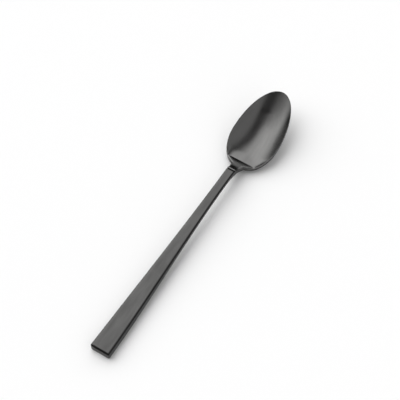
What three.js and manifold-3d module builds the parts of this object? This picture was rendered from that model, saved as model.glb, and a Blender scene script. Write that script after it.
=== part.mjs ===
// A long-handled spoon in dark brushed steel: a forged bowl and shank, with a cover plate
// laid on top of the shank and held by dowel pins.
// Millimetres, +Z up. X runs along the spoon from the handle's end to the bowl's tip.
// The origin lies on the table, under the middle of the spoon's length.
import * as THREE from 'three';
import { mergeVertices } from 'three/addons/utils/BufferGeometryUtils.js';
import Module from 'manifold-3d';

// Lengths along the spoon, in order from the handle's end to the bowl's tip
const PLATE_LENGTH = 136.3;
const PLATE_FRONT_GAP = 0.9;
const SHOULDER_LENGTH = 0.9;
const RAMP_LENGTH = 10.3;
const BOWL_REAR_LENGTH = 15.5;
const BOWL_FRONT_LENGTH = 31.7;

// Lengths along the underside: the flat it rests on, and the fall from the neck to the bowl
const REST_LAND_LENGTH = 10;
const FALL_BEHIND_SHOULDER = 10.9;
const FALL_PAST_CREASE = 3.6;

// Widths of the handle; a pull is a height or width that draws a curve towards it
const HANDLE_END_WIDTH = 12.5;
const HANDLE_WIDTH_REAR_PULL = 10.8;
const HANDLE_WIDTH_FRONT_PULL = 5.3;
const NECK_WIDTH = 5.5;
const END_CORNER_RADIUS = 0.7;

// Heights of the handle's top above the table
const TOP_AT_END = 5;
const TOP_REAR_PULL = 5;
const TOP_FRONT_PULL = 8.9;
const TOP_AT_NECK = 9.5;

// The handle's underside
const UNDERSIDE_REAR_PULL = 0;
const UNDERSIDE_BELLY = 0.8;
const UNDERSIDE_BOWL_PULL = 1.2;
const NECK_THICKNESS = 2.1;
const UNDERSIDE_END_RADIUS = 0.5;
const UNDERSIDE_CORNER_RADIUS = 0.8;

// The cover plate, whose top edges slope away a little before they turn down
const PLATE_END_THICKNESS = 1.45;
const PLATE_NECK_THICKNESS = 0.9;
const PLATE_SLOPE_WIDTH_END = 1.05;
const PLATE_SLOPE_WIDTH_NECK = 0.75;
const PLATE_SLOPE_FALL = 0.2;
const PLATE_SLOPE_POWER = 1.6;
const PLATE_CORNER_RADIUS = 0.22;
const PLATE_END_EDGE_RADIUS = 1;
const PLATE_FRONT_EDGE_RADIUS = 0.2;
const BRAZE_GAP = 0.12;

// The bowl
const BOWL_WIDTH = 30.8;
const HEEL_WIDTH = 20.3;
const BOWL_DEPTH = 6.8;
const BOWL_WALL = 1.6;
const TIP_FLAT_WIDTH = 1.6;
const RIM_LAND = 0.35;
const HEEL_LAND = 0.5;
const RIM_EDGE_HEIGHT = 1.8;
const LARGEST_EDGE_SHARE = 0.75;
const RIM_CORNER_RADIUS = 0.3;
const HOLLOW_CENTRE_SHIFT = 0.8;
const CROWN_POWER = 2.3;
const CREASE_POWER = 8;
const CREASE_BLEND_LENGTH = 8;
const HEEL_RISE = 0.6;
const RIM_HEEL_PULL = 4;
const RIM_FRONT_PULL = 9.3;
const RIM_RISE = 13.4;

// The crest of the shoulder, the ramp from it to the bowl's hollow, and the lip beside the ramp
const FLARE_WIDTH = 11.6;
const RAMP_NECK_WIDTH = 4.9;
const RAMP_FLARE = 1.5;
const RAMP_DROP_AT_SHOULDER = 0.25;
const CREST_EDGE = 0.15;
const CREST_POWER = 8;
const UPPER_STEEPENING = 0.18;
const UPPER_POWER = 7;
const LOWER_STEEPENING = 0.03;
const LOWER_POWER = 5;
const RAMP_CROWN_POWER = 14;
const RAMP_EDGE = 0.3;
const LIP_DROP_NECK = 2.2;
const LIP_DROP_HEEL = 1.8;

// Dowel pins that tie the plate to the shank
const PIN_COUNT = 4;
const PIN_DIAMETER = 1.6;
const PIN_CLEARANCE = 0.12;
const PIN_FROM_END = 12;
const PIN_FROM_FRONT = 22.3;
const PIN_GRIP = 0.5;
const PIN_END_RECESS = 0.15;

// Colours of the coated steel and of the bare pins
const BLANK_COLOUR = 0x5c5b58;
const PLATE_COLOUR = 0x62615e;
const PIN_COLOUR = 0x8a8a88;
const DARK_STEEL = { metalness: 0.95, roughness: 0.36 };

// How finely the curves are cut
const PIN_SIDES = 20;
const HANDLE_STEPS = 22;
const NECK_STEPS = 6;
const SHOULDER_STEPS = 2;
const RAMP_STEPS = 12;
const HEEL_STEPS = 8;
const TIP_STEPS = 15;
const ROUND_STEPS = 3;
const PLATE_SLOPE_STEPS = 4;
const BOWL_SAMPLES = 200;
const FIELD = [0, 0.22, 0.43, 0.62, 0.79, 0.92, 1];
const LARGEST_ROUND_SHARE = 0.4;
const RISER_SLANT = 0.02;
const MERGE_DISTANCE = 1e-4;
const QUARTER_TURN = Math.PI / 2;

// Places along the spoon that follow from the lengths above
const SHOULDER_START = PLATE_LENGTH + PLATE_FRONT_GAP;
const RAMP_START = SHOULDER_START + SHOULDER_LENGTH;
const CREASE = RAMP_START + RAMP_LENGTH;
const BOWL_WIDEST = CREASE + BOWL_REAR_LENGTH;
const SPOON_LENGTH = BOWL_WIDEST + BOWL_FRONT_LENGTH;
const HOLLOW_END = SPOON_LENGTH - RIM_LAND;
const HOLLOW_CENTRE = BOWL_WIDEST + HOLLOW_CENTRE_SHIFT;
const FALL_START = SHOULDER_START - FALL_BEHIND_SHOULDER;
const FALL_END = CREASE + FALL_PAST_CREASE;
const PIN_PITCH = (PLATE_LENGTH - PIN_FROM_END - PIN_FROM_FRONT) / (PIN_COUNT - 1);
const PIN_PLACES = Array.from({ length: PIN_COUNT }, (_, i) => PIN_FROM_END + i * PIN_PITCH);
const HOLE_DIAMETER = PIN_DIAMETER + 2 * PIN_CLEARANCE;

const { lerp, smoothstep, clamp } = THREE.MathUtils;

// Curves used all over the spoon

function bezier(a, b, c, d, from, to, at) {
  const u = clamp((at - from) / (to - from), 0, 1);
  const v = 1 - u;
  return v * v * v * a + 3 * v * v * u * b + 3 * v * u * u * c + u * u * u * d;
}

// How far a rounded edge has dropped below its face, at a distance from the edge
function edgeDrop(radius, distance) {
  const inside = clamp(radius - distance, 0, radius);
  return radius - Math.sqrt(radius * radius - inside * inside);
}

// Half the width of an oval whose rear part has a known width at the crease
function ovalHalfWidth(width, widthAtCrease, centre, end, at) {
  const cut = Math.min(widthAtCrease / width, 1);
  const rearReach = (centre - CREASE) / Math.sqrt(1 - cut * cut);
  const reach = at < centre ? rearReach : end - centre;
  const u = clamp(Math.abs(at - centre) / reach, 0, 1);
  return (width / 2) * Math.sqrt(1 - u * u);
}

// Lines of the handle

function handleHalfWidth(at) {
  const width = bezier(
    HANDLE_END_WIDTH, HANDLE_WIDTH_REAR_PULL, HANDLE_WIDTH_FRONT_PULL, NECK_WIDTH,
    0, PLATE_LENGTH, at,
  );
  return width / 2 - edgeDrop(END_CORNER_RADIUS, at);
}

function topLine(at) {
  return bezier(TOP_AT_END, TOP_REAR_PULL, TOP_FRONT_PULL, TOP_AT_NECK, 0, PLATE_LENGTH, at);
}

function plateUnderside(at) {
  const share = clamp(at / PLATE_LENGTH, 0, 1);
  return topLine(at) - lerp(PLATE_END_THICKNESS, PLATE_NECK_THICKNESS, share);
}

function shankTop(at) {
  return plateUnderside(at) - BRAZE_GAP;
}

// Lines of the bowl and the ramp

function rimShape(at) {
  return bezier(HEEL_RISE, RIM_HEEL_PULL, RIM_FRONT_PULL, RIM_RISE, CREASE, SPOON_LENGTH, at);
}

function hollowDepth(at) {
  const u = clamp((at - CREASE) / (HOLLOW_END - CREASE), 0, 1);
  return HEEL_RISE * (1 - u) + BOWL_DEPTH * Math.sin(Math.PI * u);
}

// The bowl is set at the height where the lowest point of its underside touches the table
const BOWL_LIFT = Math.max(...Array.from({ length: BOWL_SAMPLES + 1 }, (_, i) => {
  const at = lerp(CREASE, SPOON_LENGTH, i / BOWL_SAMPLES);
  return hollowDepth(at) + BOWL_WALL - rimShape(at);
}));

const RAMP_TOP = TOP_AT_NECK - RAMP_DROP_AT_SHOULDER;

function rimHeight(at) {
  return rimShape(at) + BOWL_LIFT;
}

function rampShare(at) {
  return clamp((at - RAMP_START) / RAMP_LENGTH, 0, 1);
}

function rampHeight(at) {
  const share = rampShare(at);
  const even = (1 - UPPER_STEEPENING - LOWER_STEEPENING) * share;
  const upper = UPPER_STEEPENING * (1 - (1 - share) ** UPPER_POWER);
  return lerp(RAMP_TOP, BOWL_LIFT, even + upper + LOWER_STEEPENING * share ** LOWER_POWER);
}

function flareHalfWidth(at) {
  return lerp(RAMP_NECK_WIDTH, FLARE_WIDTH, rampShare(at) ** RAMP_FLARE) / 2 + RAMP_EDGE;
}

// The lip beside the ramp hangs below it, and stands a little above it at the crease
function lipHeight(at) {
  const nearNeck = lerp(RAMP_TOP, BOWL_LIFT, 1 / 3) - LIP_DROP_NECK;
  const nearHeel = lerp(RAMP_TOP, BOWL_LIFT, 2 / 3) - LIP_DROP_HEEL;
  const atCrease = BOWL_LIFT + HEEL_RISE;
  return bezier(RAMP_TOP - RAMP_EDGE / 2, nearNeck, nearHeel, atCrease, RAMP_START, CREASE, at);
}

function bowlHalfWidth(at) {
  const half = ovalHalfWidth(BOWL_WIDTH, HEEL_WIDTH, BOWL_WIDEST, SPOON_LENGTH, at);
  return Math.max(half, TIP_FLAT_WIDTH / 2);
}

function hollowHalfWidth(at) {
  const widthAtCrease = HEEL_WIDTH - 2 * HEEL_LAND;
  return ovalHalfWidth(BOWL_WIDTH - 2 * RIM_LAND, widthAtCrease, HOLLOW_CENTRE, HOLLOW_END, at);
}

function bowlUnderside(at) {
  return rimHeight(at) - hollowDepth(at) - BOWL_WALL;
}

// The line of the underside from the handle's end to the bowl's tip
function underside(at) {
  const neck = topLine(FALL_START) - NECK_THICKNESS;
  if (at < REST_LAND_LENGTH) return edgeDrop(UNDERSIDE_END_RADIUS, at);
  if (at < FALL_START) {
    const belly = neck - UNDERSIDE_BELLY;
    return bezier(0, UNDERSIDE_REAR_PULL, belly, neck, REST_LAND_LENGTH, FALL_START, at);
  }
  if (at < FALL_END) {
    const bowl = bowlUnderside(FALL_END);
    return bezier(neck, neck, UNDERSIDE_BOWL_PULL, bowl, FALL_START, FALL_END, at);
  }
  return bowlUnderside(at);
}

// How square the cut's upper side is: flat on the ramp, with a round floor in the bowl
function crownPower(at) {
  if (at < CREASE) return RAMP_CROWN_POWER;
  return lerp(CREASE_POWER, CROWN_POWER, smoothstep(at, CREASE, CREASE + CREASE_BLEND_LENGTH));
}

// The upper side of the blank at one station: half-widths, the lip's height and how far the
// middle lies below the lip
function upperSide(at) {
  if (at < SHOULDER_START) {
    const half = handleHalfWidth(at);
    return { inner: half - RAMP_EDGE, half, lip: shankTop(at), depth: 0 };
  }
  if (at <= RAMP_START) {
    const share = (at - SHOULDER_START) / SHOULDER_LENGTH;
    const back = edgeDrop(CREST_EDGE, at - SHOULDER_START - RISER_SLANT);
    const crest = TOP_AT_NECK - back - RAMP_DROP_AT_SHOULDER * share ** CREST_POWER;
    const depth = -RAMP_EDGE / 2;
    return { inner: RAMP_NECK_WIDTH / 2, half: NECK_WIDTH / 2, lip: crest + depth, depth };
  }
  if (at < CREASE) {
    const half = Math.max(flareHalfWidth(at), bowlHalfWidth(at));
    const lip = lipHeight(at);
    return { inner: half - RAMP_EDGE, half, lip, depth: lip - rampHeight(at) };
  }
  const depth = hollowDepth(at);
  return { inner: hollowHalfWidth(at), half: bowlHalfWidth(at), lip: rimHeight(at), depth };
}

// Rings and the bodies drawn through them

function mirrorRing(at, side) {
  const left = side.map(([y, z]) => new THREE.Vector3(at, y, z));
  const right = side.slice(1, -1).reverse().map(([y, z]) => new THREE.Vector3(at, -y, z));
  return [...left, ...right];
}

// A quarter round about a centre, from straight up to straight out, or on to straight down
function quarterRound(y, z, radius, steps, startTurn) {
  return Array.from({ length: steps + 1 }, (_, i) => {
    const turn = startTurn + (i / steps) * QUARTER_TURN;
    return [y + radius * Math.sin(turn), z + radius * Math.cos(turn)];
  });
}

// One ring of the blank: half of it from the top's middle out to the edge and back below,
// then its mirror image
function blankRing(at) {
  const { inner, half, lip, depth } = upperSide(at);
  const below = underside(at);
  const power = crownPower(at);
  const bowlShare = smoothstep(at, SHOULDER_START, CREASE);
  const thickness = lip - below;
  const largest = thickness * LARGEST_ROUND_SHARE;
  const edgeHeight = Math.min(RIM_EDGE_HEIGHT, thickness * LARGEST_EDGE_SHARE);
  const round = Math.min(RIM_CORNER_RADIUS, largest);
  const corner = Math.min(lerp(UNDERSIDE_CORNER_RADIUS, RIM_CORNER_RADIUS, bowlShare), largest);
  const edgeLow = lerp(below + corner, lip - edgeHeight, bowlShare);
  const flatLow = edgeLow - corner;
  const fieldHalf = Math.min(inner, half - RAMP_EDGE);
  const top = FIELD.map((f) => [f * fieldHalf, lip - depth * (1 - f ** power)]);
  const bottom = FIELD.slice(0, -1).reverse().map((f) => {
    return [f * (half - corner), flatLow - (flatLow - below) * (1 - f ** CROWN_POWER)];
  });
  return mirrorRing(at, [
    ...top,
    ...quarterRound(half - round, lip - round, round, ROUND_STEPS, 0),
    ...quarterRound(half - corner, edgeLow, corner, ROUND_STEPS, QUARTER_TURN),
    ...bottom,
  ]);
}

// One ring of the cover plate: flat below, with a sloping strip and a corner along its top edges
function plateRing(at) {
  const half = handleHalfWidth(at);
  const slopeWidth = lerp(PLATE_SLOPE_WIDTH_END, PLATE_SLOPE_WIDTH_NECK, at / PLATE_LENGTH);
  const endDrop = edgeDrop(PLATE_END_EDGE_RADIUS, at);
  const frontDrop = edgeDrop(PLATE_FRONT_EDGE_RADIUS, PLATE_LENGTH - at);
  const ceiling = topLine(at) - Math.max(endDrop, frontDrop);
  const flat = half - PLATE_CORNER_RADIUS - slopeWidth;
  const slope = evenly(0, 1, PLATE_SLOPE_STEPS).map((share) => {
    return [flat + share * slopeWidth, topLine(at) - PLATE_SLOPE_FALL * share ** PLATE_SLOPE_POWER];
  });
  const cornerHeight = topLine(at) - PLATE_SLOPE_FALL - PLATE_CORNER_RADIUS;
  const corner = quarterRound(half - PLATE_CORNER_RADIUS, cornerHeight, PLATE_CORNER_RADIUS, ROUND_STEPS, 0);
  return mirrorRing(at, [
    [0, ceiling],
    ...[...slope, ...corner].map(([y, z]) => [y, Math.min(z, ceiling)]),
    [half, plateUnderside(at)],
    [0, plateUnderside(at)],
  ]);
}

function middleOf(ring) {
  return ring.reduce((sum, p) => sum.add(p), new THREE.Vector3()).divideScalar(ring.length);
}

// A closed body through a row of rings with equal point counts
function loft(rings) {
  const count = rings[0].length;
  const middles = [middleOf(rings[0]), middleOf(rings[rings.length - 1])];
  const points = [...rings.flat(), ...middles];
  const firstMiddle = rings.length * count;
  const lastMiddle = firstMiddle + 1;
  const lastRing = firstMiddle - count;
  const index = [];
  for (let a = 0; a < count; a += 1) {
    const b = (a + 1) % count;
    for (let ring = 0; ring < lastRing; ring += count) {
      const next = ring + count;
      index.push(ring + a, next + a, ring + b, ring + b, next + a, next + b);
    }
    index.push(firstMiddle, a, b, lastMiddle, lastRing + b, lastRing + a);
  }
  const geometry = new THREE.BufferGeometry();
  geometry.setFromPoints(points);
  geometry.setIndex(index);
  return geometry;
}

function evenly(from, to, steps) {
  return Array.from({ length: steps }, (_, i) => lerp(from, to, i / steps));
}

// Distances from an end that follow its rounding
function roundStations(radius) {
  return evenly(0, QUARTER_TURN, ROUND_STEPS).map((turn) => radius * (1 - Math.cos(turn)));
}

function bowlStations() {
  const heelReach = BOWL_REAR_LENGTH / Math.sqrt(1 - (HEEL_WIDTH / BOWL_WIDTH) ** 2);
  const heelTurn = -Math.asin(BOWL_REAR_LENGTH / heelReach);
  const heel = evenly(heelTurn, 0, HEEL_STEPS).map((turn) => BOWL_WIDEST + heelReach * Math.sin(turn));
  const front = evenly(0, QUARTER_TURN, TIP_STEPS);
  return [...heel, ...front.map((turn) => BOWL_WIDEST + BOWL_FRONT_LENGTH * Math.sin(turn)), SPOON_LENGTH];
}

// Solids, so that holes can be cut

const solids = await Module();
solids.setup();

// Where neighbouring points of a ring fall together, the empty triangles between them are left out
function solidOf(geometry) {
  const bare = geometry.clone();
  bare.deleteAttribute('normal');
  bare.deleteAttribute('uv');
  const merged = mergeVertices(bare, MERGE_DISTANCE);
  const corners = Array.from(merged.getIndex().array);
  const triangles = [];
  for (let i = 0; i < corners.length; i += 3) {
    const triangle = corners.slice(i, i + 3);
    if (new Set(triangle).size === 3) triangles.push(...triangle);
  }
  const mesh = new solids.Mesh({
    numProp: 3,
    vertProperties: new Float32Array(merged.getAttribute('position').array),
    triVerts: new Uint32Array(triangles),
  });
  return new solids.Manifold(mesh);
}

function geometryOf(solid) {
  const mesh = solid.getMesh();
  const geometry = new THREE.BufferGeometry();
  geometry.setAttribute('position', new THREE.Float32BufferAttribute(mesh.vertProperties, 3));
  geometry.setIndex(Array.from(mesh.triVerts));
  geometry.computeVertexNormals();
  return geometry;
}

// An upright round bar between two heights
function uprightBar(diameter, at, low, high) {
  const bar = new THREE.CylinderGeometry(diameter / 2, diameter / 2, high - low, PIN_SIDES);
  bar.rotateX(QUARTER_TURN);
  bar.translate(at, 0, (low + high) / 2);
  return bar;
}

function drill(rings, holes) {
  const body = solidOf(loft(rings));
  return geometryOf(holes.reduce((rest, hole) => rest.subtract(solidOf(hole)), body));
}

function pinTop(at) {
  return plateUnderside(at) + PIN_GRIP;
}

// The blank: bowl, ramp, shoulder and shank in one forging, drilled through for the pins
function makeBlank() {
  const stations = [
    ...roundStations(END_CORNER_RADIUS),
    END_CORNER_RADIUS,
    ...evenly(REST_LAND_LENGTH, FALL_START, HANDLE_STEPS),
    ...evenly(FALL_START, SHOULDER_START - RISER_SLANT, NECK_STEPS),
    SHOULDER_START - RISER_SLANT,
    SHOULDER_START + RISER_SLANT,
    ...evenly(SHOULDER_START + RISER_SLANT + CREST_EDGE, RAMP_START, SHOULDER_STEPS),
    ...evenly(RAMP_START, CREASE, RAMP_STEPS),
    ...bowlStations(),
  ];
  const holes = PIN_PLACES.map((at) => {
    return uprightBar(HOLE_DIAMETER, at, underside(at) - PIN_DIAMETER, topLine(at));
  });
  return drill(stations.map(blankRing), holes);
}

// The cover plate, with blind holes below for the pins
function makePlate() {
  const frontRound = roundStations(PLATE_FRONT_EDGE_RADIUS).map((d) => PLATE_LENGTH - d).reverse();
  const stations = [
    ...roundStations(END_CORNER_RADIUS),
    END_CORNER_RADIUS,
    ...evenly(PLATE_END_EDGE_RADIUS, PLATE_LENGTH - PLATE_FRONT_EDGE_RADIUS, HANDLE_STEPS + NECK_STEPS),
    ...frontRound,
  ];
  const holes = PIN_PLACES.map((at) => {
    const low = plateUnderside(at) - PIN_DIAMETER;
    return uprightBar(HOLE_DIAMETER, at, low, pinTop(at) + PIN_CLEARANCE);
  });
  return drill(stations.map(plateRing), holes);
}

function makePin(at) {
  return uprightBar(PIN_DIAMETER, at, underside(at) + PIN_END_RECESS, pinTop(at));
}

// The spoon put together

const spoon = new THREE.Group();
spoon.position.x = -SPOON_LENGTH / 2;

function addPiece(name, geometry, color) {
  const material = new THREE.MeshStandardMaterial({ color, ...DARK_STEEL });
  const piece = new THREE.Mesh(geometry, material);
  piece.name = name;
  spoon.add(piece);
}

addPiece('bowl_and_shank', makeBlank(), BLANK_COLOUR);
addPiece('handle_cover_plate', makePlate(), PLATE_COLOUR);
PIN_PLACES.forEach((at, i) => addPiece(`dowel_pin_${i + 1}`, makePin(at), PIN_COLOUR));

export default spoon;
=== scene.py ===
# %% [markdown]
# # A long-handled spoon in dark brushed steel
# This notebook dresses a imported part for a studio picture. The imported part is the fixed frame:
# it says where each piece sits and how large it is. Its solids are made of flat facets, which
# show in polished metal, so the spoon is drawn again here, with many more steps along the same
# lines.

import math

import bmesh
import bpy
from mathutils import Matrix, Vector


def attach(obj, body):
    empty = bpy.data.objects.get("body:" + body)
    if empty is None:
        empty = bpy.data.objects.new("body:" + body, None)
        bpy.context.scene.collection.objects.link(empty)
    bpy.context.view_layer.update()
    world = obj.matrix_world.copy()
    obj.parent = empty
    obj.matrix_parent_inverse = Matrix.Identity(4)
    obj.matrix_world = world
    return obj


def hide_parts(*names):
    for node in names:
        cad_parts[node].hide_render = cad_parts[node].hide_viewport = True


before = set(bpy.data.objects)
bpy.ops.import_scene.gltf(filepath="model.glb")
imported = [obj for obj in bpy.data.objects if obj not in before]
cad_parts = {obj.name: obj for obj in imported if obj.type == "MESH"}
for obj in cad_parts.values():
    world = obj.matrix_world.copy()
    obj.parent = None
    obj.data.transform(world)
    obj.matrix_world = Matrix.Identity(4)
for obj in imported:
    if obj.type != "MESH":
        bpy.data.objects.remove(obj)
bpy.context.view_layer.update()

# %% [markdown]
# ## The lines of the spoon
# A spoon is easier to draw from a few side and plan lines than from its surface. Each line is a
# short formula over the distance from the handle's end, in millimetres, as a maker's drawing has
# it. A Bezier curve needs only its two ends and two pulls, so a long handle stays one clean sweep.

# %% Curves that the lines are made of
MM = 0.001


def share_between(at, start, end):
    return min(max((at - start) / (end - start), 0.0), 1.0)


def mix(a, b, share):
    return a + (b - a) * share


def eased(at, start, end):
    u = share_between(at, start, end)
    return u * u * (3 - 2 * u)


def bezier(a, b, c, d, start, end, at):
    u = share_between(at, start, end)
    v = 1 - u
    return v**3 * a + 3 * v * v * u * b + 3 * v * u * u * c + u**3 * d


def edge_drop(radius, distance):
    inside = min(max(radius - distance, 0.0), radius)
    return radius - math.sqrt(radius * radius - inside * inside)


print("half way into a round of 1 mm the face has dropped", round(edge_drop(1, 0.5), 3), "mm")

# %% [markdown]
# ## The handle's lines
# The handle is a flat bar. It is widest and thickest at its end and slims down to the neck. A
# cover plate lies on top of it and stops at the neck, where a fine dark joint crosses the handle.
# In front of the joint a short crest shows, then the ramp down to the bowl. These lengths place
# all of them.

# %% Lengths along the spoon, and the handle's lines
PLATE_LENGTH = 136.3
JOINT_WIDTH = 0.9
CREST_LENGTH = 0.9
RAMP_LENGTH = 10.3
BOWL_REAR = 15.5
BOWL_FRONT = 31.7
SHOULDER_START = PLATE_LENGTH + JOINT_WIDTH
RAMP_START = SHOULDER_START + CREST_LENGTH
CREASE = RAMP_START + RAMP_LENGTH
BOWL_WIDEST = CREASE + BOWL_REAR
SPOON_LENGTH = BOWL_WIDEST + BOWL_FRONT
END_WIDTH = 12.5
NECK_WIDTH = 5.5
WIDTH_PULLS = (10.8, 5.3)
END_CORNER = 0.7
TOP_AT_END = 5.0
TOP_AT_NECK = 9.5
TOP_PULLS = (5.0, 8.9)
PLATE_THICKNESS = (1.45, 0.9)


def handle_half_width(at):
    width = bezier(END_WIDTH, *WIDTH_PULLS, NECK_WIDTH, 0, PLATE_LENGTH, at)
    return width / 2 - edge_drop(END_CORNER, at)


def top_line(at):
    return bezier(TOP_AT_END, *TOP_PULLS, TOP_AT_NECK, 0, PLATE_LENGTH, at)


def plate_underside(at):
    return top_line(at) - mix(*PLATE_THICKNESS, share_between(at, 0, PLATE_LENGTH))


print("the spoon is", SPOON_LENGTH, "mm long, and its handle", END_WIDTH, "mm wide at its end")

# %% [markdown]
# ## The bowl's lines
# Seen from above the bowl is an oval, blunter at the heel than at the tip. Its rim climbs towards
# the tip, and its hollow is deepest near the widest place. The whole bowl is lifted until the
# lowest point of its underside touches the table, as it does when the spoon lies there.

# %% Bowl lines
BOWL_WIDTH = 30.8
HEEL_WIDTH = 20.3
HEEL_LAND = 0.5
TIP_HALF_WIDTH = 0.8
BOWL_DEPTH = 6.8
BOWL_WALL = 1.6
HEEL_RISE = 0.6
RIM_PULLS = (4.0, 9.3)
RIM_RISE = 13.4
RIM_LAND = 0.12
HOLLOW_SHIFT = 0.8
HOLLOW_CENTRE = BOWL_WIDEST + HOLLOW_SHIFT
HOLLOW_END = SPOON_LENGTH - RIM_LAND
BOWL_SAMPLES = 200


def oval_half_width(width, width_at_crease, centre, end, at):
    cut = width_at_crease / width
    rear = (centre - CREASE) / math.sqrt(1 - cut * cut)
    u = min(abs(at - centre) / (rear if at < centre else end - centre), 1.0)
    return width / 2 * math.sqrt(1 - u * u)


def bowl_half_width(at):
    oval = oval_half_width(BOWL_WIDTH, HEEL_WIDTH, BOWL_WIDEST, SPOON_LENGTH, at)
    return max(oval, TIP_HALF_WIDTH)


def hollow_half_width(at):
    width = BOWL_WIDTH - 2 * RIM_LAND
    width_at_crease = HEEL_WIDTH - 2 * HEEL_LAND
    return oval_half_width(width, width_at_crease, HOLLOW_CENTRE, HOLLOW_END, at)


def hollow_depth(at):
    share = share_between(at, CREASE, HOLLOW_END)
    return HEEL_RISE * (1 - share) + BOWL_DEPTH * math.sin(math.pi * share)


def rim_shape(at):
    return bezier(HEEL_RISE, *RIM_PULLS, RIM_RISE, CREASE, SPOON_LENGTH, at)


def bowl_lift():
    samples = [mix(CREASE, SPOON_LENGTH, i / BOWL_SAMPLES) for i in range(BOWL_SAMPLES + 1)]
    return max(hollow_depth(at) + BOWL_WALL - rim_shape(at) for at in samples)


BOWL_LIFT = bowl_lift()
print("the crease lies", round(BOWL_LIFT, 2), "mm above the table")

# %% [markdown]
# ## The crest, the ramp and its lips
# In front of the joint the forging stands up in a short crest as high as the plate. From there a
# ramp drops to the bowl. It starts steep, which is why its upper end is nearly black in the
# picture, then runs flatter and steepens a little again at its foot. Beside the ramp two lips
# hang lower than it does, and they rise into the bowl's rim.

# %% Crest, ramp and lip lines
RISER_SLANT = 0.02
CREST_EDGE = 0.15
CREST_FALL = 0.25
CREST_POWER = 8
RAMP_NECK_WIDTH = 4.9
FLARE_WIDTH = 11.6
FLARE_POWER = 1.5
RAMP_EDGE = 0.3
RAMP_TOP = TOP_AT_NECK - CREST_FALL
UPPER_STEEPENING = 0.18
UPPER_POWER = 7
LOWER_STEEPENING = 0.03
LOWER_POWER = 11
LIP_DROPS = (2.2, 1.8)
SHORT_RUN = 0.1


def crest_height(at):
    back = edge_drop(CREST_EDGE, at - SHOULDER_START - RISER_SLANT)
    share = share_between(at, SHOULDER_START, RAMP_START)
    return TOP_AT_NECK - back - CREST_FALL * share**CREST_POWER


def ramp_half_width(at):
    share = share_between(at, RAMP_START, CREASE)
    flare = mix(RAMP_NECK_WIDTH, FLARE_WIDTH, share**FLARE_POWER) / 2 + RAMP_EDGE
    return max(flare, bowl_half_width(at))


def ramp_height(at):
    share = share_between(at, RAMP_START, CREASE)
    even = (1 - UPPER_STEEPENING - LOWER_STEEPENING) * share
    upper = UPPER_STEEPENING * (1 - (1 - share) ** UPPER_POWER)
    lower = LOWER_STEEPENING * share**LOWER_POWER
    return mix(RAMP_TOP, BOWL_LIFT, even + upper + lower)


def lip_height(at):
    near_neck = mix(RAMP_TOP, BOWL_LIFT, 1 / 3) - LIP_DROPS[0]
    near_heel = mix(RAMP_TOP, BOWL_LIFT, 2 / 3) - LIP_DROPS[1]
    at_crease = BOWL_LIFT + HEEL_RISE
    return bezier(RAMP_TOP - RAMP_EDGE / 2, near_neck, near_heel, at_crease, RAMP_START, CREASE, at)


first_drop = ramp_height(RAMP_START) - ramp_height(RAMP_START + SHORT_RUN)
print("the ramp starts at", round(math.degrees(math.atan(first_drop / SHORT_RUN))), "degrees")

# %% [markdown]
# ## The underside
# The spoon rests on a flat under the handle's end and on the lowest point of the bowl. Between them
# the underside arches up to the thin neck and falls again into the bowl. It can't be seen in the
# picture, so it follows from the thickness of the neck and of the bowl's wall.

# %% Underside line
REST_LAND = 10.0
END_UNDERSIDE_ROUND = 0.5
NECK_THICKNESS = 2.1
NECK_BELLY = 0.8
FALL_BEHIND_SHOULDER = 10.9
FALL_PAST_CREASE = 3.6
FALL_START = SHOULDER_START - FALL_BEHIND_SHOULDER
FALL_END = CREASE + FALL_PAST_CREASE
FALL_PULL = 1.2


def bowl_underside(at):
    return rim_shape(at) + BOWL_LIFT - hollow_depth(at) - BOWL_WALL


def underside(at):
    neck = top_line(FALL_START) - NECK_THICKNESS
    if at < REST_LAND:
        return edge_drop(END_UNDERSIDE_ROUND, at)
    if at < FALL_START:
        return bezier(0, 0, neck - NECK_BELLY, neck, REST_LAND, FALL_START, at)
    if at < FALL_END:
        return bezier(neck, neck, FALL_PULL, bowl_underside(FALL_END), FALL_START, FALL_END, at)
    return bowl_underside(at)


print("the handle arches up to", round(underside(FALL_START), 2), "mm above the table")

# %% [markdown]
# ## One cut through the forging
# A cut across the spoon is a closed outline. It starts at the top's middle, runs out over the
# hollow and the rim, round the edge and back underneath, and the other half mirrors it. Every cut
# has the same number of points, so that one can be extruded into the next. A high power makes the
# upper side flat with a sharp turn at its sides, as on the ramp. A low one makes a round hollow.

# %% Outlines of the forging
FIELD_STEPS = 16
FIELD = [math.sin(math.pi / 2 * i / FIELD_STEPS) for i in range(FIELD_STEPS + 1)]
ROUND_STEPS = 6
ROLL_STEPS = 5
RAMP_POWER = 14.0
HEEL_POWER = 8.0
HOLLOW_POWER = 2.3
HEEL_BLEND = 8.0
RIM_ROLL = 0.12
RIM_CORNER = 0.3
RIM_EDGE_HEIGHT = 1.8
LARGEST_EDGE_SHARE = 0.75
LARGEST_ROUND_SHARE = 0.4
SHANK_EDGE = 0.3
SHANK_CORNER = 0.8
BRAZE_GAP = 0.12


def quarter_round(y, z, radius, start_turn, steps=ROUND_STEPS):
    turns = [start_turn + math.pi / 2 * i / steps for i in range(steps + 1)]
    return [(y + radius * math.sin(t), z + radius * math.cos(t)) for t in turns]


def mirrored(half):
    return half + [(-y, z) for y, z in reversed(half[1:-1])]


def upper_power(at):
    if at < CREASE:
        return RAMP_POWER
    return mix(HEEL_POWER, HOLLOW_POWER, eased(at, CREASE, CREASE + HEEL_BLEND))


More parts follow.
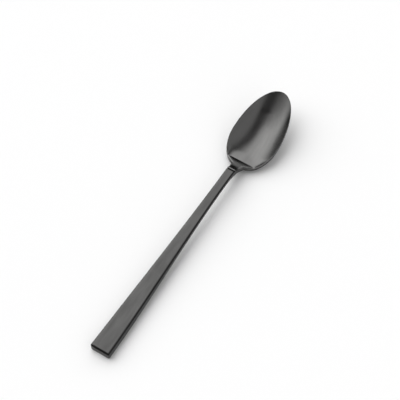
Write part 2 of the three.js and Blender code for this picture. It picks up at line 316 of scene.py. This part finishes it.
def upper_side(at):
    if at < SHOULDER_START:
        half = handle_half_width(at)
        return half, half - RAMP_EDGE, plate_underside(at) - BRAZE_GAP, 0.0
    if at <= RAMP_START:
        return NECK_WIDTH / 2, RAMP_NECK_WIDTH / 2, crest_height(at) - RAMP_EDGE / 2, -RAMP_EDGE / 2
    if at < CREASE:
        half = ramp_half_width(at)
        return half, half - RAMP_EDGE, lip_height(at), lip_height(at) - ramp_height(at)
    return bowl_half_width(at), hollow_half_width(at), rim_shape(at) + BOWL_LIFT, hollow_depth(at)


def upper_outline(at, half, rounding):
    _, inner, lip, depth = upper_side(at)
    power = upper_power(at)
    inner = min(inner, half - rounding)
    lean = math.atan(power * max(depth, 0.0) / max(inner, RAMP_EDGE))
    rolled = RIM_ROLL * (1 - math.cos(lean))
    field_half = inner - RIM_ROLL * math.sin(lean)
    field = [(f * field_half, lip - rolled - (depth - rolled) * (1 - f**power)) for f in FIELD]
    turns = [lean * (1 - i / ROLL_STEPS) for i in range(1, ROLL_STEPS + 1)]
    roll = [(inner - RIM_ROLL * math.sin(t), lip - RIM_ROLL * (1 - math.cos(t))) for t in turns]
    return field + roll + quarter_round(half - rounding, lip - rounding, rounding, 0)


def forging_outline(at):
    half, _, lip, _ = upper_side(at)
    below = underside(at)
    thickness = lip - below
    bowl_share = eased(at, SHOULDER_START, CREASE)
    largest_round = thickness * LARGEST_ROUND_SHARE
    rounding = min(mix(SHANK_EDGE, RIM_ROLL, bowl_share), largest_round)
    corner = min(mix(SHANK_CORNER, RIM_CORNER, bowl_share), largest_round)
    edge_height = min(RIM_EDGE_HEIGHT, thickness * LARGEST_EDGE_SHARE)
    edge_low = mix(below + corner, lip - edge_height, bowl_share)
    flat_low = edge_low - corner
    lower = [
        (f * (half - corner), flat_low - (flat_low - below) * (1 - f**HOLLOW_POWER))
        for f in reversed(FIELD[:-1])
    ]
    edge = quarter_round(half - corner, edge_low, corner, math.pi / 2)
    return mirrored(upper_outline(at, half, rounding) + edge + lower)


print("each cut through the forging has", len(forging_outline(PLATE_LENGTH)), "points")

# %% [markdown]
# ## Extruding one outline into the next
# The extrude operator is the quickest way to build a long shape whose cuts change slowly. A circle
# gives the first loop of vertices. Each following loop is an extrusion of the one before, moved to
# its own outline, so the faces between them come from the operator. The two ends are filled last.

# %% Loops of vertices, extruded along the spoon
WELD_DISTANCE = 1e-7


def shape_loop(loop, at, outline):
    for vert, (y, z) in zip(loop, outline):
        vert.co = Vector((at - SPOON_LENGTH / 2, y, z)) * MM


def loop_edges(mesh, loop):
    return [mesh.edges.get((loop[i - 1], loop[i])) for i in range(len(loop))]


def extrude_loop(mesh, loop):
    made = bmesh.ops.extrude_edge_only(mesh, edges=loop_edges(mesh, loop))["geom"]
    fresh = {item for item in made if isinstance(item, bmesh.types.BMVert)}
    return [next(e.other_vert(v) for e in v.link_edges if e.other_vert(v) in fresh) for v in loop]


def extruded_along(stations, outline_at):
    mesh = bmesh.new()
    first = outline_at(stations[0])
    loop = bmesh.ops.create_circle(mesh, segments=len(first), radius=MM)["verts"]
    shape_loop(loop, stations[0], first)
    ends = [loop]
    for at in stations[1:]:
        loop = extrude_loop(mesh, loop)
        shape_loop(loop, at, outline_at(at))
    ends.append(loop)
    for end in ends:
        bmesh.ops.contextual_create(mesh, geom=loop_edges(mesh, end))
    bmesh.ops.remove_doubles(mesh, verts=mesh.verts, dist=WELD_DISTANCE)
    bmesh.ops.dissolve_degenerate(mesh, edges=mesh.edges, dist=WELD_DISTANCE)
    bmesh.ops.recalc_face_normals(mesh, faces=mesh.faces)
    return mesh


def evenly(start, end, steps):
    return [mix(start, end, i / steps) for i in range(steps)]


def round_stations(radius, steps=ROUND_STEPS):
    return [radius * (1 - math.cos(math.pi / 2 * i / steps)) for i in range(steps)]


print("a round of 1 mm is cut at", [round(at, 2) for at in round_stations(1.0)], "mm")

# %% [markdown]
# ## From a mesh to a piece of the part
# A finished mesh becomes an object that rides on the part's body, so that it stays with the packed
# model. Its faces are shaded smooth, and edges that turn more than a set angle stay sharp. Sharp
# edges matter here, because the bright and dark lines of the spoon lie along them.

# %% Pieces that ride on the part's body
SHARP_ANGLE = 35


def linked_object(name, mesh):
    data = bpy.data.meshes.new(name)
    mesh.to_mesh(data)
    mesh.free()
    made = bpy.data.objects.new(name, data)
    bpy.context.scene.collection.objects.link(made)
    return made


def new_piece(name, mesh, replaced):
    piece = linked_object(name, mesh)
    for polygon in piece.data.polygons:
        polygon.use_smooth = True
    piece.data.set_sharp_from_angle(angle=math.radians(SHARP_ANGLE))
    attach(piece, "root")
    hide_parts(replaced)
    print(name, "has", len(piece.data.polygons), "faces and stands in for", replaced)
    return piece


print("edges that turn more than", SHARP_ANGLE, "degrees stay sharp")

# %% [markdown]
# ## The forged bowl and shank
# On the real spoon the bowl, the ramp, the neck and the bar under the plate are one forging. The
# cuts lie close together where the shape turns fast, at the neck, the crease and the tip, and
# further apart along the straight handle.

# %% Build the forging
LAND_STEPS = 5
SHANK_STEPS = 60
NECK_STEPS = 20
CREST_STEPS = 6
RAMP_STEPS = 36
BOWL_REAR_STEPS = 32
BOWL_FRONT_STEPS = 64


def forging_stations():
    heel = math.acos(HEEL_WIDTH / BOWL_WIDTH)
    rear = (BOWL_WIDEST - CREASE) / math.sin(heel)
    riser_foot = SHOULDER_START - RISER_SLANT
    riser_head = SHOULDER_START + RISER_SLANT
    rear_turns = evenly(-heel, 0, BOWL_REAR_STEPS)
    front_turns = evenly(0, math.pi / 2, BOWL_FRONT_STEPS)
    return [
        *round_stations(END_CORNER),
        *evenly(END_CORNER, REST_LAND, LAND_STEPS),
        *evenly(REST_LAND, FALL_START, SHANK_STEPS),
        *evenly(FALL_START, riser_foot, NECK_STEPS),
        riser_foot,
        *[riser_head + d for d in round_stations(CREST_EDGE)],
        *evenly(riser_head + CREST_EDGE, RAMP_START, CREST_STEPS),
        *evenly(RAMP_START, CREASE, RAMP_STEPS),
        *[BOWL_WIDEST + rear * math.sin(turn) for turn in rear_turns],
        *[BOWL_WIDEST + BOWL_FRONT * math.sin(turn) for turn in front_turns],
        SPOON_LENGTH,
    ]


forging_mesh = extruded_along(forging_stations(), forging_outline)
forging = new_piece("forged_bowl_and_shank", forging_mesh, "bowl_and_shank")

# %% [markdown]
# ## The cover plate
# The plate is a strip of sheet. Its top is flat in the middle and slopes off gently towards both
# sides, which makes the dark line along the handle's edge. A chamfer breaks its edge at the
# handle's end and shows as a black line there. Below it is flat, where it lies on the bar. It is
# drawn with the same extrude loop, and only its outline differs.

# %% Build the cover plate
SLOPE_WIDTHS = (1.05, 0.75)
SLOPE_FALL = 0.2
SLOPE_POWER = 1.6
SLOPE_STEPS = 8
PLATE_CORNER = 0.22
PLATE_CHAMFER = 0.12
PLATE_END_CHAMFER = 0.9
PLATE_FRONT_ROUND = 0.2
TOP_SHARES = (0.0, 0.35, 0.7, 0.92)
PLATE_END_STEPS = 9
CHAMFER_STEPS = 2
PLATE_STEPS = 80


def plate_side(at, half):
    top = top_line(at)
    width = mix(*SLOPE_WIDTHS, at / PLATE_LENGTH)
    flat = half - PLATE_CORNER - width
    shares = [i / SLOPE_STEPS for i in range(SLOPE_STEPS)]
    slope = [(flat + width * share, top - SLOPE_FALL * share**SLOPE_POWER) for share in shares]
    level = [(share * flat, top) for share in TOP_SHARES]
    corner_height = top - SLOPE_FALL - PLATE_CORNER
    return level + slope + quarter_round(half - PLATE_CORNER, corner_height, PLATE_CORNER, 0)


def plate_outline(at):
    half = handle_half_width(at)
    low = plate_underside(at)
    end_drop = max(PLATE_END_CHAMFER - at, 0.0)
    front_drop = edge_drop(PLATE_FRONT_ROUND, PLATE_LENGTH - at)
    ceiling = top_line(at) - max(end_drop, front_drop)
    upper = [(y, min(z, ceiling)) for y, z in plate_side(at, half)]
    chamfer = [(half, low + PLATE_CHAMFER), (half - PLATE_CHAMFER, low)]
    return mirrored(upper + chamfer + [(half / 2, low), (0.0, low)])


plate_stations = [
    *round_stations(END_CORNER, PLATE_END_STEPS),
    *evenly(END_CORNER, PLATE_END_CHAMFER, CHAMFER_STEPS),
    *evenly(PLATE_END_CHAMFER, PLATE_LENGTH - PLATE_FRONT_ROUND, PLATE_STEPS),
    *[PLATE_LENGTH - d for d in reversed(round_stations(PLATE_FRONT_ROUND))],
]
plate_mesh = extruded_along(plate_stations, plate_outline)
plate = new_piece("cover_plate", plate_mesh, "handle_cover_plate")

# %% [markdown]
# ## The dowel pins
# Four steel dowels stand in holes through the bar and hold the plate. A cone with equal radii is a
# cylinder, and a small bevel breaks its two edges as on a turned pin. Only their ends show, on the
# underside of the handle.

# %% Build the dowel pins
PIN_RADIUS = 0.8
PIN_BEVEL = 0.12
PIN_RECESS = 0.15
PIN_IN_PLATE = 0.5
FIRST_PIN = 12.0
PIN_PITCH = 34.0
PIN_COUNT = 4
PIN_PLACES = [FIRST_PIN + i * PIN_PITCH for i in range(PIN_COUNT)]
BAR_SIDES = 40
BEVEL_STEPS = 3


def upright_bar(mesh, at, low, high, radius):
    bmesh.ops.create_cone(
        mesh,
        cap_ends=True,
        segments=BAR_SIDES,
        radius1=radius * MM,
        radius2=radius * MM,
        depth=(high - low) * MM,
        matrix=Matrix.Translation(Vector((at - SPOON_LENGTH / 2, 0, (low + high) / 2)) * MM),
    )


def dowel_pin(number, at):
    mesh = bmesh.new()
    head = plate_underside(at) + PIN_IN_PLATE
    upright_bar(mesh, at, underside(at) + PIN_RECESS, head, PIN_RADIUS)
    bmesh.ops.bevel(
        mesh,
        geom=[e for f in mesh.faces if len(f.verts) == BAR_SIDES for e in f.edges],
        offset=PIN_BEVEL * MM,
        affect="EDGES",
        segments=BEVEL_STEPS,
        profile=0.5,
        material=-1,
    )
    return new_piece(f"turned_dowel_pin_{number}", mesh, f"dowel_pin_{number}")


pins = [dowel_pin(i + 1, at) for i, at in enumerate(PIN_PLACES)]

# %% [markdown]
# ## Holes for the pins
# A Boolean modifier cuts a shape out of another, as a drill does. One cutter holds all four drills,
# a little wider than the pins. The cut is applied, so that the forging and the plate are plain
# meshes again.

# %% Drill the forging and the plate
PIN_CLEARANCE = 0.12
DRILL_OVERRUN = 2.0


def drill(piece, name, low_at, high_at):
    mesh = bmesh.new()
    for at in PIN_PLACES:
        upright_bar(mesh, at, low_at(at), high_at(at), PIN_RADIUS + PIN_CLEARANCE)
    cutter = linked_object(name, mesh)
    cut = piece.modifiers.new("drill", "BOOLEAN")
    cut.operation = "DIFFERENCE"
    cut.solver = "EXACT"
    cut.object = cutter
    depsgraph = bpy.context.evaluated_depsgraph_get()
    drilled = bpy.data.meshes.new_from_object(piece.evaluated_get(depsgraph))
    piece.modifiers.clear()
    piece.data = drilled
    bpy.data.objects.remove(cutter)
    print(piece.name, "is drilled and now has", len(drilled.polygons), "faces")


def blind_hole_end(at):
    return plate_underside(at) + PIN_IN_PLATE + PIN_CLEARANCE


drill(forging, "long_drills", lambda at: underside(at) - DRILL_OVERRUN, top_line)
drill(plate, "short_drills", lambda at: plate_underside(at) - DRILL_OVERRUN, blind_hole_end)

# %% [markdown]
# ## Marks that run along the spoon
# Brushing draws an abrasive along the metal, so every mark it leaves is long and thin. A noise
# texture becomes such marks when its coordinates are stretched: a small scale along the spoon and
# large ones across it. The coordinates are the object's own, so the marks stay on the metal.

# %% Stretched noise for shader nodes
NOISE_LOW = 0.3
NOISE_HIGH = 0.7


def link(tree, source, output, target, socket):
    tree.links.new(source.outputs[output], target.inputs[socket])


def stretched_noise(tree, scale, detail):
    place = tree.nodes.new("ShaderNodeTexCoord")
    stretch = tree.nodes.new("ShaderNodeMapping")
    stretch.inputs["Scale"].default_value = scale
    noise = tree.nodes.new("ShaderNodeTexNoise")
    noise.inputs["Scale"].default_value = 1.0
    noise.inputs["Detail"].default_value = detail
    link(tree, place, "Object", stretch, "Vector")
    link(tree, stretch, "Vector", noise, "Vector")
    return noise


def ranged(tree, noise, low, high):
    span = tree.nodes.new("ShaderNodeMapRange")
    span.inputs["From Min"].default_value = NOISE_LOW
    span.inputs["From Max"].default_value = NOISE_HIGH
    span.inputs["To Min"].default_value = low
    span.inputs["To Max"].default_value = high
    link(tree, noise, "Fac", span, "Value")
    return span


def tinted(tree, noise, tone, contrast):
    ramp = tree.nodes.new("ShaderNodeValToRGB")
    dark, light = ramp.color_ramp.elements
    dark.position = NOISE_LOW
    dark.color = (*[c * (1 - contrast) for c in tone], 1)
    light.position = NOISE_HIGH
    light.color = (*[c * (1 + contrast) for c in tone], 1)
    link(tree, noise, "Fac", ramp, "Fac")
    return ramp


print("noise between", NOISE_LOW, "and", NOISE_HIGH, "is spread over each range")

# %% [markdown]
# ## Dark brushed steel
# The finish is a dark coating on brushed steel. The scratches smear a mirror image across them more
# than along them, and anisotropy with a tangent that runs round the spoon gives that smear. Streaks
# go into the colour, clouds into the roughness and fine scratches into the bump. A grey specular
# tint keeps the metal dark where it is seen at a flat angle, as a thick coating does.

# %% Materials
STREAK_SCALE = (70, 420, 420)
STREAK_DETAIL = 4
CLOUD_SCALE = (60, 140, 140)
CLOUD_DETAIL = 2
SCRATCH_SCALE = (90, 7000, 7000)
SCRATCH_DETAIL = 4
SCRATCH_STRENGTH = 0.12
SCRATCH_DEPTH = 0.02
ANISOTROPY = 0.85
GRAZING_TINT = 0.69
FORGING_FINISH = {"tone": (0.1157, 0.115, 0.1133), "contrast": 0.05, "roughness": (0.17, 0.23)}
PLATE_FINISH = {"tone": (0.0608, 0.0604, 0.0595), "contrast": 0.13, "roughness": (0.13, 0.19)}
PIN_FINISH = {"tone": (0.50, 0.50, 0.49), "contrast": 0.08, "roughness": (0.25, 0.35)}


def brushed_steel(name, tone, contrast, roughness):
    material = bpy.data.materials.new(name)
    material.use_nodes = True
    tree = material.node_tree
    shader = tree.nodes["Principled BSDF"]
    shader.inputs["Metallic"].default_value = 1.0
    shader.inputs["Anisotropic"].default_value = ANISOTROPY
    shader.inputs["Specular Tint"].default_value = (GRAZING_TINT, GRAZING_TINT, GRAZING_TINT, 1)
    around = tree.nodes.new("ShaderNodeTangent")
    around.direction_type = "RADIAL"
    around.axis = "X"
    link(tree, around, "Tangent", shader, "Tangent")
    streaks = stretched_noise(tree, STREAK_SCALE, STREAK_DETAIL)
    link(tree, tinted(tree, streaks, tone, contrast), "Color", shader, "Base Color")
    clouds = stretched_noise(tree, CLOUD_SCALE, CLOUD_DETAIL)
    link(tree, ranged(tree, clouds, *roughness), "Result", shader, "Roughness")
    scratches = stretched_noise(tree, SCRATCH_SCALE, SCRATCH_DETAIL)
    bump = tree.nodes.new("ShaderNodeBump")
    bump.inputs["Strength"].default_value = SCRATCH_STRENGTH
    bump.inputs["Distance"].default_value = SCRATCH_DEPTH * MM
    link(tree, scratches, "Fac", bump, "Height")
    link(tree, bump, "Normal", shader, "Normal")
    print("material", name, "with tone", tone)
    return material


def paint(piece, material):
    piece.data.materials.clear()
    piece.data.materials.append(material)


paint(forging, brushed_steel("dark_coated_forging", **FORGING_FINISH))
paint(plate, brushed_steel("dark_coated_plate", **PLATE_FINISH))
bare_steel = brushed_steel("bare_turned_steel", **PIN_FINISH)
for pin in pins:
    paint(pin, bare_steel)

# %% [markdown]
# ## The floor
# The spoon lies on a plain white floor, which carries its shadow and shows in the metal's lower
# edges. It lies a tenth of a millimetre under the spoon, so that the two never share a surface.

# %% Floor
FLOOR_DEPTH = 0.1
FLOOR_REACH = 20
FLOOR_WHITE = 0.94
FLOOR_ROUGHNESS = 0.9


def white_floor():
    mesh = bmesh.new()
    bmesh.ops.create_grid(mesh, x_segments=1, y_segments=1, size=FLOOR_REACH)
    bmesh.ops.translate(mesh, verts=mesh.verts, vec=(0, 0, -FLOOR_DEPTH * MM))
    floor = linked_object("white_floor", mesh)
    material = bpy.data.materials.new("white_floor_paint")
    material.use_nodes = True
    shader = material.node_tree.nodes["Principled BSDF"]
    shader.inputs["Base Color"].default_value = (FLOOR_WHITE, FLOOR_WHITE, FLOOR_WHITE, 1)
    shader.inputs["Roughness"].default_value = FLOOR_ROUGHNESS
    paint(floor, material)
    return floor


print("floor", white_floor().name)

# %% [markdown]
# ## Soft lights around the spoon
# Metal shows what is around it, so the light is drawn as the room that the spoon sees. A broad
# soft light hangs over the left side. It fades to the right, towards the floor and towards the
# handle's end, and where it fades the bowl has its dark band. A weaker light stands on the right,
# and a small one low in front of the tip lights the ramp. Each is brightest where a direction
# lines up with it: its outer and inner values are the cosines of the angles at which it starts
# and is full.

# %% World light
DARK_ROOM = 0.17


def direction(azimuth, elevation):
    a, e = math.radians(azimuth), math.radians(elevation)
    return (math.cos(e) * math.cos(a), math.cos(e) * math.sin(a), math.sin(e))


KEY_LIGHT = {"towards": direction(88, 0), "outer": -0.05, "inner": 0.36, "strength": 2.4}
FLOOR_FADE = {"towards": direction(0, 90), "outer": -0.03, "inner": 0.48, "strength": 1.0}
END_FADE = {"towards": direction(0, 0), "outer": -0.9, "inner": -0.05, "strength": 1.0}
FILL_LIGHT = {"towards": direction(-77, 0), "outer": 0.32, "inner": 0.56, "strength": 0.6}
TIP_LIGHT = {"towards": direction(-8, 12.5), "outer": 0.93, "inner": 0.985, "strength": 1.12}


def soft_light(tree, towards, outer, inner, strength):
    place = tree.nodes.new("ShaderNodeTexCoord")
    aligned = tree.nodes.new("ShaderNodeVectorMath")
    aligned.operation = "DOT_PRODUCT"
    aligned.inputs[1].default_value = towards
    glow = tree.nodes.new("ShaderNodeMapRange")
    glow.interpolation_type = "SMOOTHSTEP"
    glow.inputs["From Min"].default_value = outer
    glow.inputs["From Max"].default_value = inner
    glow.inputs["To Min"].default_value = 0.0
    glow.inputs["To Max"].default_value = strength
    link(tree, place, "Generated", aligned, 0)
    link(tree, aligned, "Value", glow, "Value")
    return glow


def worked_out(tree, operation, *sources):
    result = tree.nodes.new("ShaderNodeMath")
    result.operation = operation
    for i, source in enumerate(sources):
        tree.links.new(source.outputs[0], result.inputs[i])
    return result


def studio_world():
    world = bpy.data.worlds.new("studio")
    bpy.context.scene.world = world
    world.use_nodes = True
    tree = world.node_tree
    low_faded = worked_out(
        tree, "MULTIPLY", soft_light(tree, **KEY_LIGHT), soft_light(tree, **FLOOR_FADE)
    )
    key = worked_out(tree, "MULTIPLY", low_faded, soft_light(tree, **END_FADE))
    sides = worked_out(tree, "ADD", key, soft_light(tree, **FILL_LIGHT))
    lights = worked_out(tree, "ADD", sides, soft_light(tree, **TIP_LIGHT))
    level = worked_out(tree, "ADD", lights)
    level.inputs[1].default_value = DARK_ROOM
    link(tree, level, "Value", tree.nodes["Background"], "Strength")
    tree.nodes["Background"].inputs["Color"].default_value = (1, 1, 1, 1)
    return world


print("world", studio_world().name, "with a key light of strength", KEY_LIGHT["strength"])

# %% [markdown]
# ## Camera
# The photo was taken with a long lens from above the handle's end. A long lens keeps the handle and
# the bowl at nearly the same scale. The camera's place, aim and roll were found by laying the drawn
# outline over the photo's.

# %% Camera
CAMERA_PLACE = Vector((-444.32, -300.80, 894.86)) * MM
CAMERA_AIM = Vector((13.85, 5.40, 5.45)) * MM
CAMERA_ROLL = math.radians(-1.343)
LENS_LENGTH = 162
SENSOR_WIDTH = 36


def studio_camera():
    data = bpy.data.cameras.new("studio_camera")
    data.lens = LENS_LENGTH
    data.sensor_width = SENSOR_WIDTH
    camera = bpy.data.objects.new("studio_camera", data)
    bpy.context.scene.collection.objects.link(camera)
    look = (CAMERA_PLACE - CAMERA_AIM).to_track_quat("Z", "Y").to_matrix()
    turned = (look @ Matrix.Rotation(CAMERA_ROLL, 3, "Z")).to_4x4()
    camera.matrix_world = Matrix.Translation(CAMERA_PLACE) @ turned
    bpy.context.scene.camera = camera
    return camera


print("camera", studio_camera().name, "at", [round(c, 3) for c in CAMERA_PLACE], "m")
bpy.context.scene.view_settings.view_transform = "Standard"
